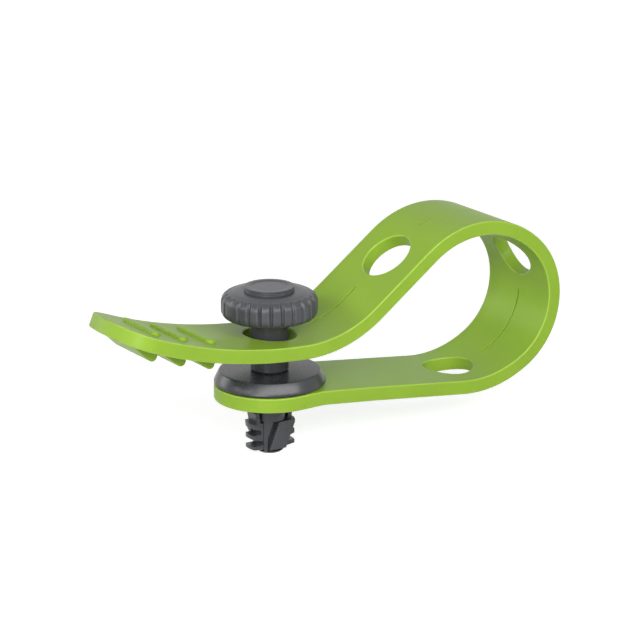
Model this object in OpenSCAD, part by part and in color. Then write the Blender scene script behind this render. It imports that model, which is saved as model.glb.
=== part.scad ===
// Elastic looped strap on an expanding, barbed turn-lock plug.
// The plug pushes into a hole or channel. Turning the knob clockwise draws the plug core up into the
// collar, and the collar's cone spreads the two barbed arms.
// Origin: on the stud axis, in the plane of the strap end's underside. +Z up the stud, +X towards
// the loop, strap width along Y.

/* [Strap] */
// Width of the strap
strap_w = 25; // [22:0.5:30]
// Thickness of the strap
strap_t = 3.5; // [2.5:0.1:4.5]
// Radius of the round end under the collar
end_r = 13.4; // [13:0.1:16]
// Distance from the stud axis at which the round end has narrowed to the strap's width
neck_x = 22; // [18:1:26]
// Diameter of the holes that the knob buttons through
hole_d = 13; // [11:0.1:14]
// Flat stretch beyond the stud axis, under the collar
seat_run = 6; // [2:0.5:8]
// Radius of the small bend past the collar
dip_r = 20; // [15:1:40]
// Angle by which the lower run drops away from the collar
dip_turn = 6.7; // [4:0.1:9]
// Straight lower run
lower_run = 40.4; // [36:0.2:50]
// Radius where the lower run turns up into the loop
rise_r = 29; // [26:0.5:32]
// Turn of that first bend
rise_turn = 38; // [36:0.5:40]
// Tightest radius, at the far end of the loop
loop_r = 18.1; // [17:0.1:20]
// Turn of the tight bend
loop_turn = 102.7; // [100:0.1:105]
// Radius over the top of the loop
crown_r = 24.2; // [22:0.1:26]
// Turn over the top of the loop
crown_turn = 82.6; // [80:0.1:85]
// Straight run from the loop down towards the stud
fall_run = 19.4; // [16:0.2:24]
// Radius of the hollow bend beside the stud
saddle_r = 32.3; // [30:0.1:36]
// Turn of the hollow bend
saddle_turn = 38.6; // [37:0.1:40]
// Radius of the upturned tail
tail_r = 126; // [100:1:200]
// Length of the tail, from the hollow bend to the nose
tail_run = 49.4; // [46:0.2:60]
// Corner radius of the tail's nose
nose_r = 9; // [4:0.5:11]
// Distance along the strap from the stud's axis to the first adjustment hole
first_hole = 52.6; // [48:0.1:56]
// Distance from the first adjustment hole to the second
second_step = 43.5; // [40:0.1:46]
// Distance from the second adjustment hole to the third
third_step = 44.4; // [40:0.1:46]
// Width of the fine slits between the holes
slit_w = 0.4; // [0.3:0.1:1]
// Distance from a hole's edge to the end of the slit beside it
slit_gap = 4.6; // [3.5:0.1:6]

/* [Tail grips] */
// Number of raised bars on the tail, and of ramps under it
grip_count = 3; // [2:1:3]
// Distance from the nose's tip to the first ramp's deep end
grip_inset = 10.3; // [8:0.1:14]
// Spacing of the ramps and of the bars along the tail
grip_pitch = 7.8; // [7:0.1:8.5]
// Width of the ramps across the strap
ramp_w = 16; // [12:0.5:20]
// Depth of each ramp below the strap
ramp_h = 2.5; // [1.5:0.1:3]
// Radius of the round bump at the ramp's deep end
ramp_bump_r = 1.2; // [0.8:0.1:1.5]
// Length of the raised bars across the strap
bar_len = 15; // [10:0.5:18]
// Width of the raised bars
bar_w = 2.6; // [1.6:0.1:4]
// Height of the raised bars
bar_h = 0.8; // [0.4:0.1:1.2]

/* [Knob] */
// Diameter of the knob over its lands
knob_d = 23; // [21:0.5:26]
// Height of the knob's ribbed rim
knob_h = 6.1; // [5:0.2:8]
// Height of the domed crown of the knob above its ribbed rim
dome_h = 0.5; // [0.3:0.1:1]
// Gap between the strap's upper run and the knob's underside
knob_gap = 4.25; // [2:0.05:8]
// Number of grip grooves round the knob
groove_count = 26; // [18:1:30]
// Turn of the first groove away from the tail's opposite side
groove_turn = 4.6; // [0:0.1:13]
// Radius of the knob's upper shoulder
shoulder_r = 2.1; // [1:0.1:2.5]
// Radius of the knob's lower edge
foot_r = 2; // [1:0.1:2.5]
// Radius of the round-bottomed grip grooves
groove_r = 0.5; // [0.4:0.05:0.8]
// Depth of the grip grooves
groove_depth = 0.45; // [0.3:0.05:0.6]
// Diameter of the stem
stem_d = 9.1; // [8:0.1:10]
// Diameter of the short boss between the knob's underside and the stem
boss_d = 10.4; // [9.5:0.1:12]
// Height of that boss
boss_h = 1.4; // [0.8:0.1:2]
// Diameter of the round cap on the knob
cap_d = 12; // [10:0.5:14]
// Height of the cap above the knob's crown
cap_rise = 1.1; // [0.8:0.1:2]

/* [Collar] */
// Height of the collar
collar_h = 3.35; // [3:0.05:4.5]
// Diameter of the collar's flat top
collar_top_d = 24.2; // [20:0.1:25]
// Diameter of the hub that fills the strap's end hole
hub_d = 10.4; // [10:0.1:11]
// Depth of the spreading cone below the strap
cone_depth = 3; // [2.5:0.1:3.2]
// Diameter of the spreading cone at its lower end
cone_tip_d = 8.2; // [8.1:0.05:8.4]

/* [Plug] */
// Diameter of the plug core
core_d = 7.3; // [7:0.1:7.4]
// Depth of the plug below the strap
plug_depth = 13.5; // [13.2:0.1:15]
// Diameter over the barbs
barb_d = 12; // [11:0.1:13]
// Number of barbs on each arm
barb_count = 3; // [2:1:3]
// Height of the lowest barb above the arm's foot
barb_foot = 0.55; // [0.4:0.05:0.7]
// Height of each barb's tip
barb_tip = 0.7; // [0.5:0.05:0.9]
// Depth below the strap of the first barb's top
barb_top = 5.8; // [5.6:0.1:6]
// Width of the toothed block in the core's slot
arm_w = 3.8; // [3.4:0.1:4]
// Wall of the hinge ear that covers the pin's end
ear_wall = 0.3; // [0.2:0.05:0.5]
// Thickness of the single hinge ear beside the core
ear_t = 1.2; // [0.8:0.05:1.3]
// Diameter of the hinge pin that both arms share
pin_d = 1.8; // [1.4:0.1:2]
// Width of the key that keeps the core from turning
key_w = 1.2; // [0.8:0.1:1.6]
// Depth of that key
key_h = 0.5; // [0.3:0.1:0.8]

/* [Draw screw] */
// Thread diameter of the draw screw
screw_d = 2.5; // [2:0.1:3]
// Width across the flats of the screw's hexagonal head
head_af = 5; // [4:0.1:5.5]
// Height of the screw's head
head_h = 1.8; // [1.4:0.1:2.4]
// Outer diameter of the threaded insert
insert_d = 4; // [3.4:0.1:4.6]
// Length of the threaded insert
insert_len = 3; // [2:0.1:4]
// Lift of the plug core from loose to tight
lift = 1.5; // [1:0.1:1.6]

/* [Fits] */
// Radial clearance of turning and sliding fits
run_fit = 0.06; // [0.02:0.01:0.1]
// Clearance of loose guides
guide_gap = 0.1; // [0.05:0.01:0.15]

/* [Hidden] */
$fn = 96;
eps = 0.01;
// Turn between two stations of a bend, and between two points of a rounded corner
bend_step = 5;
round_step = 15;
// Depth to which a raised shape is sunk into the strap that carries it
weld = 0.4;

// --- Strap's middle line: [length, turn] of each stretch, from the round end's rim to the nose ---
function arc_len(r, turn) = r * turn * PI / 180;
STRETCHES = [
    [end_r + seat_run, 0],
    [arc_len(dip_r, dip_turn), -dip_turn],
    [lower_run, 0],
    [arc_len(rise_r, rise_turn), rise_turn],
    [arc_len(loop_r, loop_turn), loop_turn],
    [arc_len(crown_r, crown_turn), crown_turn],
    [fall_run, 0],
    [arc_len(saddle_r, saddle_turn), -saddle_turn],
    [tail_run, -tail_run / tail_r * 180 / PI],
];
LAST = len(STRETCHES) - 1;
STARTS = [for (i = 0, a = 0; i <= LAST; a = a + STRETCHES[i][0], i = i + 1) a];
strap_end = STARTS[LAST] + STRETCHES[LAST][0];
STATIONS = [
    for (i = [0 : LAST])
        let (n = max(1, ceil(abs(STRETCHES[i][1]) / bend_step)))
            for (k = [0 : n - 1]) STARTS[i] + STRETCHES[i][0] * k / n
];

// Moves a pose [x, z, heading] along a stretch of a given length and turn
function advance(p, length, turn) =
    let (chord = turn == 0 ? length : length * sin(turn / 2) / (turn * PI / 360))
        [p[0] + chord * cos(p[2] + turn / 2), p[1] + chord * sin(p[2] + turn / 2), p[2] + turn];

// Pose of the middle line at distance s from the round end's rim
function pose(s, i = 0, p = [-end_r, strap_t / 2, 0]) =
    s <= STRETCHES[i][0] || i == LAST
        ? advance(p, s, STRETCHES[i][1] * s / STRETCHES[i][0])
        : pose(s - STRETCHES[i][0], i + 1, advance(p, STRETCHES[i][0], STRETCHES[i][1]));

// Distance from the rim at which the upper run crosses the stud's axis, between distances a and b
function crossing(a, b, tries = 30) =
    let (mid = (a + b) / 2)
        tries == 0 ? mid : pose(mid)[0] > 0 ? crossing(mid, b, tries - 1) : crossing(a, mid, tries - 1);

// Point beside the middle line: positive side is the loop's outside
function beside(s, side) = let (p = pose(s)) [p[0] + side * sin(p[2]), p[1] - side * cos(p[2])];

// Distances from a to b, with the bends' stations between them
function stations(a, b) = [a, for (s = STATIONS) if (s > a + eps && s < b - eps) s, b];

function reversed(list) = [for (i = [len(list) - 1 : -1 : 0]) list[i]];

// Side outline of the strap through a list of distances
function band(at, thick) =
    concat([for (s = at) beside(s, thick / 2)], [for (s = reversed(at)) beside(s, -thick / 2)]);

// Points of an arc about [x, y] from angle a to angle b
function arc(x, y, r, a, b) =
    let (n = max(1, ceil(abs(b - a) / round_step)))
        [for (k = [0 : n]) [x + r * cos(a + (b - a) * k / n), y + r * sin(a + (b - a) * k / n)]];

module strap_band(at, width, thick) {
    rotate([90, 0, 0])
        linear_extrude(width, center = true)
            polygon(band(at, thick));
}

// Places children on the middle line: X along the strap, Z towards the loop's inside
module on_strap(s) {
    p = pose(s);
    translate([p[0], 0, p[1]])
        rotate([0, -p[2], 0])
            children();
}

// --- Stations along the strap ---
neck_s = end_r + neck_x + strap_t / 2;
nose_s = strap_end - nose_r - strap_t;
// The nose and the run before it overlap from here to nose_s
lap_s = nose_s - strap_t;
stem_s = crossing(STARTS[LAST - 1], strap_end);
// Middles of the holes: three adjustment holes and the one that the stem passes through
first_s = end_r + first_hole;
HOLES = [first_s, first_s + second_step, first_s + second_step + third_step, stem_s];
slit_margin = hole_d / 2 + slit_gap;
// Deep end of the ramp nearest the nose
first_grip_s = strap_end - grip_inset;

// --- Heights along the stud ---
knob_z = pose(stem_s)[1] + strap_t / 2 + knob_gap;
collar_top = strap_t + collar_h;
core_top = 0.8;
cavity_roof = 0.5;
cavity_top = strap_t - cavity_roof;
clip_t = 0.4;
clip_gap = 0.15;
clip_z = core_top + lift + clip_gap;
rim_top = knob_z + knob_h;
crown_z = rim_top + dome_h;
cap_sink = 0.1;
cap_floor = rim_top - cap_sink;
cap_top = crown_z + cap_rise;
spigot_h = 1.2;
head_z = cap_floor - spigot_h - head_h;
insert_sink = 0.2;
insert_top = core_top - insert_sink;
spare_thread = 2;
screw_tip = insert_top - insert_len - lift - spare_thread;
bore_spare = 1;
bore_floor = screw_tip - lift - bore_spare;
foot_t = 0.5;
slot_floor = -plug_depth + foot_t;
pin_rise = 1.4;
pin_z = slot_floor + pin_rise;
arm_top = -barb_top;
toe_gap = 0.45;
arm_floor = slot_floor + toe_gap;
tab_top = -cone_depth - guide_gap;
barb_pitch = (arm_top - arm_floor - barb_tip - barb_foot) / (barb_count - 1);
flank_share = 0.4;
barb_flank = flank_share * barb_pitch;

// --- Radii and half widths ---
knob_r = knob_d / 2;
stem_r = stem_d / 2;
boss_r = boss_d / 2;
cap_r = cap_d / 2;
spigot_r = 3.4;
hub_r = hub_d / 2;
core_r = core_d / 2;
screw_r = screw_d / 2;
barb_r = barb_d / 2;
pin_r = pin_d / 2;
slot_half = arm_w / 2 + guide_gap;
column_half = 2;
block_gap = 0.3;
ear_low = -column_half;
arm_gap = 0.4;
root_low = 2.7;
root_high = 4.1;
ear_face = slot_half + ear_t;

// --- Strap ---

module round_end() {
    intersection() {
        strap_band(stations(0, neck_s), 2 * end_r + 2, strap_t);
        translate([0, 0, -strap_t])
            linear_extrude(3 * strap_t)
                polygon(concat(arc(0, 0, end_r, 90, 270),
                               [[neck_x, -strap_w / 2], [2 * neck_x, -strap_w / 2],
                                [2 * neck_x, strap_w / 2], [neck_x, strap_w / 2]]));
    }
}

module nose() {
    corner_x = strap_end - nose_s - nose_r;
    corner_y = strap_w / 2 - nose_r;
    intersection() {
        strap_band(concat([lap_s], stations(nose_s, strap_end + strap_t)), strap_w + 2, strap_t);
        on_strap(nose_s)
            translate([0, 0, -2 * strap_t])
                linear_extrude(4 * strap_t)
                    polygon(concat([[-2 * strap_t, -strap_w / 2]],
                                   arc(corner_x, -corner_y, nose_r, -90, 0),
                                   arc(corner_x, corner_y, nose_r, 0, 90),
                                   [[-2 * strap_t, strap_w / 2]]));
    }
}

// Wedge under the tail: thin towards the nose, with a round bump at its deep end
module grip_ramp() {
    run = grip_pitch - ramp_bump_r / 2;
    root = strap_t / 2 - weld;
    bump_z = strap_t / 2 + ramp_h - ramp_bump_r;
    slope = atan2(ramp_h, run);
    rotate([90, 0, 0])
        linear_extrude(ramp_w, center = true)
            polygon(concat([[-ramp_bump_r, root], [run, root]],
                           arc(0, bump_z, ramp_bump_r, 90 - slope, 180)));
}

// Plain raised bar across the tail's upper face
module grip_bar() {
    half = (bar_len - bar_w) / 2;
    translate([0, 0, -strap_t / 2 - bar_h])
        linear_extrude(bar_h + weld)
            polygon(concat(arc(0, half, bar_w / 2, 0, 180), arc(0, -half, bar_w / 2, 180, 360)));
}

module strap() {
    color("#86b82f")
    difference() {
        union() {
            round_end();
            strap_band(concat(stations(neck_s, lap_s), [nose_s]), strap_w, strap_t);
            nose();
            for (i = [0 : grip_count - 1])
                on_strap(first_grip_s - i * grip_pitch) {
                    grip_ramp();
                    grip_bar();
                }
        }
        translate([0, 0, -1])
            cylinder(r = hub_r + guide_gap, h = strap_t + 2);
        for (s = HOLES)
            on_strap(s)
                cylinder(d = hole_d, h = 3 * strap_t, center = true);
        for (i = [0 : len(HOLES) - 2])
            strap_band(stations(HOLES[i] + slit_margin, HOLES[i + 1] - slit_margin), slit_w, strap_t + 1);
    }
}

// --- Collar: bevelled disc, hub through the strap's end hole, and the cone that spreads the arms ---
module collar() {
    lip = 0.9;
    undercut = 0.25;
    edge = 0.3;
    bulge = 0.2;
    cone_top = -0.4;
    skirt_z = strap_t + 3 * undercut;
    color("#3a3b40")
    difference() {
        rotate_extrude()
            polygon(concat(
                [[0, -cone_depth], [cone_tip_d / 2, -cone_depth], [hub_r, cone_top], [hub_r, strap_t],
                 [end_r - lip, strap_t], [end_r - lip, strap_t + undercut],
                 [end_r, strap_t + 2 * undercut], [end_r, skirt_z],
                 [(end_r + collar_top_d / 2) / 2 + bulge, (skirt_z + collar_top) / 2 + bulge]],
                arc(collar_top_d / 2 - edge, collar_top - edge, edge, 25, 90),
                [[0, collar_top]]));
        translate([0, 0, -cone_depth - 1])
            cylinder(r = core_r + run_fit, h = cavity_top + cone_depth + 1);
        translate([0, 0, -1])
            cylinder(r = screw_r + guide_gap, h = collar_top + 2);
        // Keyway that keeps the plug core from turning
        translate([-key_w / 2 - guide_gap, 0, -cone_depth - 1])
            cube([key_w + 2 * guide_gap, core_r + key_h + guide_gap, cavity_top + cone_depth + 1]);
    }
}

// --- Knob: ribbed head, boss and stem ---
module knob() {
    dome_r = knob_r - shoulder_r;
    chamfer = 0.4;
    crown_flat = 0.5;
    crown_fall = 1.2;
    color("#46474c")
    difference() {
        rotate_extrude()
            polygon(concat(
                [[0, crown_z], [cap_r + crown_flat, crown_z], [dome_r - crown_fall, crown_z - dome_h / 2]],
                arc(dome_r, rim_top - shoulder_r, shoulder_r, 90, 0),
                arc(knob_r - foot_r, knob_z + foot_r, foot_r, 0, -90),
                [[boss_r, knob_z], [boss_r, knob_z - boss_h + chamfer], [boss_r - chamfer, knob_z - boss_h],
                 [stem_r, knob_z - boss_h], [stem_r, collar_top + chamfer],
                 [stem_r - chamfer, collar_top], [0, collar_top]]));
        for (i = [0 : groove_count - 1])
            rotate(groove_turn + 360 * i / groove_count)
                translate([knob_r + groove_r - groove_depth, 0, knob_z - 1])
                    cylinder(r = groove_r, h = knob_h + 2, $fn = 24);
        translate([0, 0, collar_top - 1])
            cylinder(r = screw_r + run_fit, h = knob_h + knob_z);
        translate([0, 0, head_z])
            cylinder(d = head_af / cos(30) + 2 * run_fit, h = knob_h + 2, $fn = 6);
        translate([0, 0, cap_floor - spigot_h])
            cylinder(r = spigot_r + run_fit, h = spigot_h + 3);
        translate([0, 0, cap_floor])
            cylinder(r = cap_r + run_fit, h = dome_h + 3);
    }
}

// --- Cap: plain stepped disc with a ring groove, a dimple and two index notches ---
module knob_cap() {
    step = 0.6;
    edge = 0.2;
    ring_r = cap_r - 2;
    ring_w = 0.5;
    dimple_r = 1.6;
    notch_w = 0.8;
    color("#3f4045")
    difference() {
        rotate_extrude()
            polygon([[0, cap_floor - spigot_h], [spigot_r, cap_floor - spigot_h], [spigot_r, cap_floor],
                     [cap_r, cap_floor], [cap_r, cap_top - step - edge], [cap_r - edge, cap_top - step],
                     [cap_r - step, cap_top - step], [cap_r - step, cap_top - edge],
                     [cap_r - step - edge, cap_top], [ring_r + ring_w, cap_top],
                     [ring_r + ring_w, cap_top - ring_w], [ring_r, cap_top - ring_w],
                     [ring_r, cap_top], [0, cap_top]]);
        translate([0, 0, cap_top + 0.6 * dimple_r])
            sphere(r = dimple_r);
        for (side = [-1, 1])
            translate([side * cap_r, 0, cap_top])
                cube([2 * (cap_r - ring_r) - 1, notch_w, 2 * step], center = true);
    }
}

// --- Draw screw: hexagon head, shank and a groove for the retaining clip ---
module draw_screw() {
    groove_cut = 0.35;
    groove_floor = screw_r - groove_cut;
    point = 0.6;
    color("silver")
    union() {
        translate([0, 0, head_z])
            cylinder(d = head_af / cos(30), h = head_h, $fn = 6);
        rotate_extrude()
            polygon([[0, head_z + eps], [screw_r, head_z + eps], [screw_r, clip_z + clip_t + eps],
                     [groove_floor, clip_z + clip_t + eps], [groove_floor, clip_z - eps],
                     [screw_r, clip_z - eps], [screw_r, screw_tip + point],
                     [screw_r - point, screw_tip], [0, screw_tip]]);
    }
}

module retaining_clip() {
    mouth = 1.4;
    clip_w = 1.25;
    bite = 0.32;
    clip_r = screw_r + clip_w;
    color("gray")
    difference() {
        translate([0, 0, clip_z])
            cylinder(r = clip_r, h = clip_t);
        translate([0, 0, clip_z - 1])
            cylinder(r = screw_r - bite, h = clip_t + 2);
        translate([0, -mouth / 2, clip_z - 1])
            cube([2 * clip_r, mouth, clip_t + 2]);
    }
}

// --- Plug core: round core with slots for the toothed blocks and side recesses for the ears ---
module ear_recess() {
    top = arm_top + arm_gap;
    edge_top = -1.2;
    edge_low = ear_low - arm_gap;
    knee_share = 0.45;
    knee = slot_floor + knee_share * (top - slot_floor);
    rotate([90, 0, 0])
        translate([0, 0, slot_half])
            linear_extrude(core_r)
                polygon([[edge_low, slot_floor], [edge_low, knee], [edge_top, top],
                         [core_r + 1, top], [core_r + 1, slot_floor]]);
}

module plug_core() {
    chamfer = 0.9;
    color("#34353a")
    difference() {
        union() {
            rotate_extrude()
                polygon([[0, -plug_depth], [core_r - chamfer, -plug_depth], [core_r, chamfer - plug_depth],
                         [core_r, core_top], [0, core_top]]);
            translate([-key_w / 2, 0, 0])
                cube([key_w, core_r + key_h, core_top]);
        }
        for (turn = [0, 180])
            rotate(turn) {
                translate([column_half, -slot_half, slot_floor])
                    cube([core_r, 2 * slot_half, arm_top + arm_gap - slot_floor]);
                ear_recess();
            }
        translate([0, 0, insert_top - insert_len])
            cylinder(r = insert_d / 2, h = insert_len + 2);
        translate([0, 0, bore_floor])
            cylinder(r = screw_r + guide_gap, h = core_top - bore_floor + 1);
        translate([0, 0, pin_z])
            rotate([90, 0, 0])
                cylinder(r = pin_r, h = 3 * core_r, center = true);
    }
}

module threaded_insert() {
    color("goldenrod")
    difference() {
        translate([0, 0, insert_top - insert_len])
            cylinder(r = insert_d / 2, h = insert_len);
        translate([0, 0, insert_top - insert_len - 1])
            cylinder(r = screw_r + run_fit, h = insert_len + 2);
    }
}

module arm_pin() {
    color("silver")
    translate([0, 0, pin_z])
        rotate([90, 0, 0])
            cylinder(r = pin_r, h = 2 * (ear_face - ear_wall - guide_gap), center = true);
}

// --- Latch arm: a toothed block in the core's slot and an ear on the shared pin ---
// Root of the teeth at height z
function root_x(z) = root_low + (root_high - root_low) * (z - arm_floor) / (arm_top - arm_floor);

// Outer edge of the arm, from its top down: flat-topped barbs with sloping undersides
function barb_edge(reach) = [
    for (k = [0 : barb_count - 1])
        let (z = arm_top - k * barb_pitch, flank = z - barb_tip - barb_flank)
            each [[root_x(z), z], [reach, z], [reach, z - barb_tip],
                  [root_x(max(flank, arm_floor)), max(flank, arm_floor)]]
];

module latch_arm() {
    inner = column_half + block_gap;
    tab_in = cone_tip_d / 2 + guide_gap;
    tab_w = 1.15;
    tab_root = 0.6;
    ear_top = 0.7;
    ear_foot = 2.5;
    ear_toe = 0.6;
    ear_inner = slot_half + run_fit;
    reach = barb_r + 1;
    rim = [[reach, arm_top], [reach, arm_top - barb_tip],
           [sqrt(barb_r * barb_r - ear_face * ear_face), arm_top - barb_tip], [ear_foot, arm_floor]];
    intersection() {
        difference() {
            rotate([90, 0, 0])
                union() {
                    // Toothed block
                    translate([0, 0, -arm_w / 2])
                        linear_extrude(arm_w / 2 + ear_inner)
                            polygon(concat([[inner, arm_floor], [inner, arm_top]], barb_edge(reach)));
                    // Tab that rides up the collar's cone
                    linear_extrude(arm_w, center = true)
                        polygon([[core_r + guide_gap, arm_top - tab_root], [tab_in, tab_top],
                                 [tab_in + tab_w, tab_top], [root_high + tab_root, arm_top - tab_root]]);
                    // Web between the block and the ear
                    translate([0, 0, arm_w / 2])
                        linear_extrude(ear_face - arm_w / 2)
                            polygon(concat([[inner, arm_floor], [inner, arm_top]], rim));
                    // Ear on the pin
                    translate([0, 0, ear_inner])
                        linear_extrude(ear_face - ear_inner)
                            polygon(concat([[ear_low, arm_floor], [ear_low, pin_z - ear_toe],
                                            [ear_top, arm_top]], rim));
                }
            translate([0, 0, pin_z])
                rotate([90, 0, 0])
                    cylinder(r = pin_r + run_fit, h = ear_face - ear_wall);
        }
        translate([0, 0, -plug_depth])
            cylinder(r = barb_r, h = plug_depth);
    }
}

module latch_arm_right() {
    color("#303136")
    latch_arm();
}

module latch_arm_left() {
    color("#303136")
    rotate(180)
        latch_arm();
}

strap();
collar();
knob();
knob_cap();
draw_screw();
retaining_clip();
plug_core();
threaded_insert();
arm_pin();
latch_arm_right();
latch_arm_left();
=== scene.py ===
"""Elastic strap loop on a barbed turn-lock stud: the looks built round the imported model."""

import logging
import math
from collections.abc import Iterable, Sequence
from dataclasses import dataclass, field
from enum import Enum

import bmesh
import bpy
from mathutils import Matrix, Vector


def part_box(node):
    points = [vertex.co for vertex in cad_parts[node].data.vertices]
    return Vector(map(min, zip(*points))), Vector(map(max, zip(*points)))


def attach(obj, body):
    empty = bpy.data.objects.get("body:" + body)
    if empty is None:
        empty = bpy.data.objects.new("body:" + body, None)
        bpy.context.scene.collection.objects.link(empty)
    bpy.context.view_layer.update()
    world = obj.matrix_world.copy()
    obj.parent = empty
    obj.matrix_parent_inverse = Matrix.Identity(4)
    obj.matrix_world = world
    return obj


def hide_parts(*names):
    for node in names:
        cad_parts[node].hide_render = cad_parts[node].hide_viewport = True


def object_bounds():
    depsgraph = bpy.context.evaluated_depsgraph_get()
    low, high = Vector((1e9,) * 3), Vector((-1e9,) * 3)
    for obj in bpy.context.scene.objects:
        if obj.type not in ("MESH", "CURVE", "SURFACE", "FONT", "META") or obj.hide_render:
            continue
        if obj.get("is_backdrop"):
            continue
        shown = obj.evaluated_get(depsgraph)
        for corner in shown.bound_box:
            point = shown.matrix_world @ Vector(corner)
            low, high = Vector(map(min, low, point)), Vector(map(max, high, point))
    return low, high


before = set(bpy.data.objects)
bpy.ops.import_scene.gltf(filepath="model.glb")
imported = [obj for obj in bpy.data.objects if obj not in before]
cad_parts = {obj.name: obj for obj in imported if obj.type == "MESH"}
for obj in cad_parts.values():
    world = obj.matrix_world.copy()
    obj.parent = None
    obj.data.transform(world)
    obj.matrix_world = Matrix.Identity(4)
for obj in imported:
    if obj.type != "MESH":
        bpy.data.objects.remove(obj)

LOG = logging.getLogger("scene")
Point = tuple[float, float]
Place = tuple[float, float, float]
Colour = tuple[float, float, float]
Verts = list[bmesh.types.BMVert]

MM = 0.001
STRAP_THICKNESS = 3.5 * MM
WHITE = (1.0, 1.0, 1.0, 1.0)
# The vertex layer that says how strongly a painted highlight lightens a moulding's edges, from 0 to 1
EDGE_HIGHLIGHT_LAYER = "rubbed_edge"


# --- Node trees ---


class Value:
    """A number in a node tree; expressions on it add Math nodes."""

    def __init__(self, tree: "Tree", socket: bpy.types.NodeSocket) -> None:
        """Wraps one output socket of a tree's node."""
        self.tree = tree
        self.socket = socket

    def math(self, operation: str, *others: "Value | float") -> "Value":
        """Adds a Math node on this value.

        Args:
            operation: The Math node's operation.
            others: The node's further inputs, as values or numbers.

        Returns:
            The node's result.
        """
        inputs = dict(enumerate([self, *others]))
        node = self.tree.add("ShaderNodeMath", {"operation": operation}, inputs)
        return Value(self.tree, node.outputs[0])

    def clamped(self) -> "Value":
        """This value, held between 0 and 1."""
        return self.math("MAXIMUM", 0.0).math("MINIMUM", 1.0)

    def __add__(self, other: "Value | float") -> "Value":
        """Sum."""
        return self.math("ADD", other)

    def __sub__(self, other: "Value | float") -> "Value":
        """Difference."""
        return self.math("SUBTRACT", other)

    def __rsub__(self, other: float) -> "Value":
        """A number less this value."""
        return (self * -1.0) + other

    def __mul__(self, other: "Value | float") -> "Value":
        """Product."""
        return self.math("MULTIPLY", other)

    def __truediv__(self, other: "Value | float") -> "Value":
        """Quotient."""
        return self.math("DIVIDE", other)

    __radd__ = __add__
    __rmul__ = __mul__


class Tree:
    """Adds and wires the nodes of a shader tree or a geometry tree."""

    def __init__(self, tree: bpy.types.NodeTree) -> None:
        """Takes the tree to fill."""
        self.tree = tree

    def add(
        self, kind: str, settings: dict[str, object] | None = None,
        inputs: dict[str | int, object] | None = None,
    ) -> bpy.types.Node:
        """Adds a node.

        Args:
            kind: The node's type name.
            settings: Properties that are set before the inputs.
            inputs: Values or links, by socket identifier, name or index.

        Returns:
            The new node.
        """
        node = self.tree.nodes.new(kind)
        for key, value in (settings or {}).items():
            setattr(node, key, value)
        for key, value in (inputs or {}).items():
            socket = self._input(node, key)
            if isinstance(value, (Value, bpy.types.NodeSocket)):
                self.link(value, socket)
            else:
                socket.default_value = value
        return node

    def link(self, source: "Value | bpy.types.NodeSocket", socket: bpy.types.NodeSocket) -> None:
        """Wires a value or an output into an input."""
        self.tree.links.new(source.socket if isinstance(source, Value) else source, socket)

    @staticmethod
    def _input(node: bpy.types.Node, key: str | int) -> bpy.types.NodeSocket:
        """Finds one of a node's inputs.

        Args:
            node: The node.
            key: The socket's identifier, name or index.

        Returns:
            The socket.
        """
        if isinstance(key, int):
            return node.inputs[key]
        named = [s for s in node.inputs if s.identifier == key]
        return named[0] if named else node.inputs[key]

    def value(
        self, kind: str, output: str | int, settings: dict | None = None, inputs: dict | None = None
    ) -> Value:
        """Adds a node and wraps one of its outputs."""
        return Value(self, self.add(kind, settings, inputs).outputs[output])

    def vector(self, operation: str, first: object, second: object) -> bpy.types.NodeSocket:
        """Adds a Vector Math node, whose second input is the factor where it scales."""
        inputs = {0: first, "Scale" if operation == "SCALE" else 1: second}
        return self.add("ShaderNodeVectorMath", {"operation": operation}, inputs).outputs[0]

    def mapped(self, value: Value, given: Point, wanted: Point, way: str = "LINEAR") -> Value:
        """Maps one range of a value to another.

        Args:
            value: The value.
            given: The range that it has.
            wanted: The range that it gets.
            way: How it goes from one end to the other.

        Returns:
            The value in its new range.
        """
        inputs = {"Value": value, "From Min": given[0], "From Max": given[1], "To Min": wanted[0],
                  "To Max": wanted[1]}
        return self.value("ShaderNodeMapRange", "Result", {"interpolation_type": way}, inputs)


def blank_tree(owner: bpy.types.Material | bpy.types.World) -> Tree:
    """Gives a material or the world an empty node tree to fill.

    Args:
        owner: The material or the world.

    Returns:
        The tree, ready to fill.
    """
    owner.use_nodes = True
    owner.node_tree.nodes.clear()
    return Tree(owner.node_tree)


# --- Finishes ---


class Slot(Enum):
    """The record's material slots."""

    STRAP = "strap_elastic"
    BLACK = "black_nylon"
    KNOB = "knob_nylon"
    STEEL = "steel"
    BRASS = "brass_insert"


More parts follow.
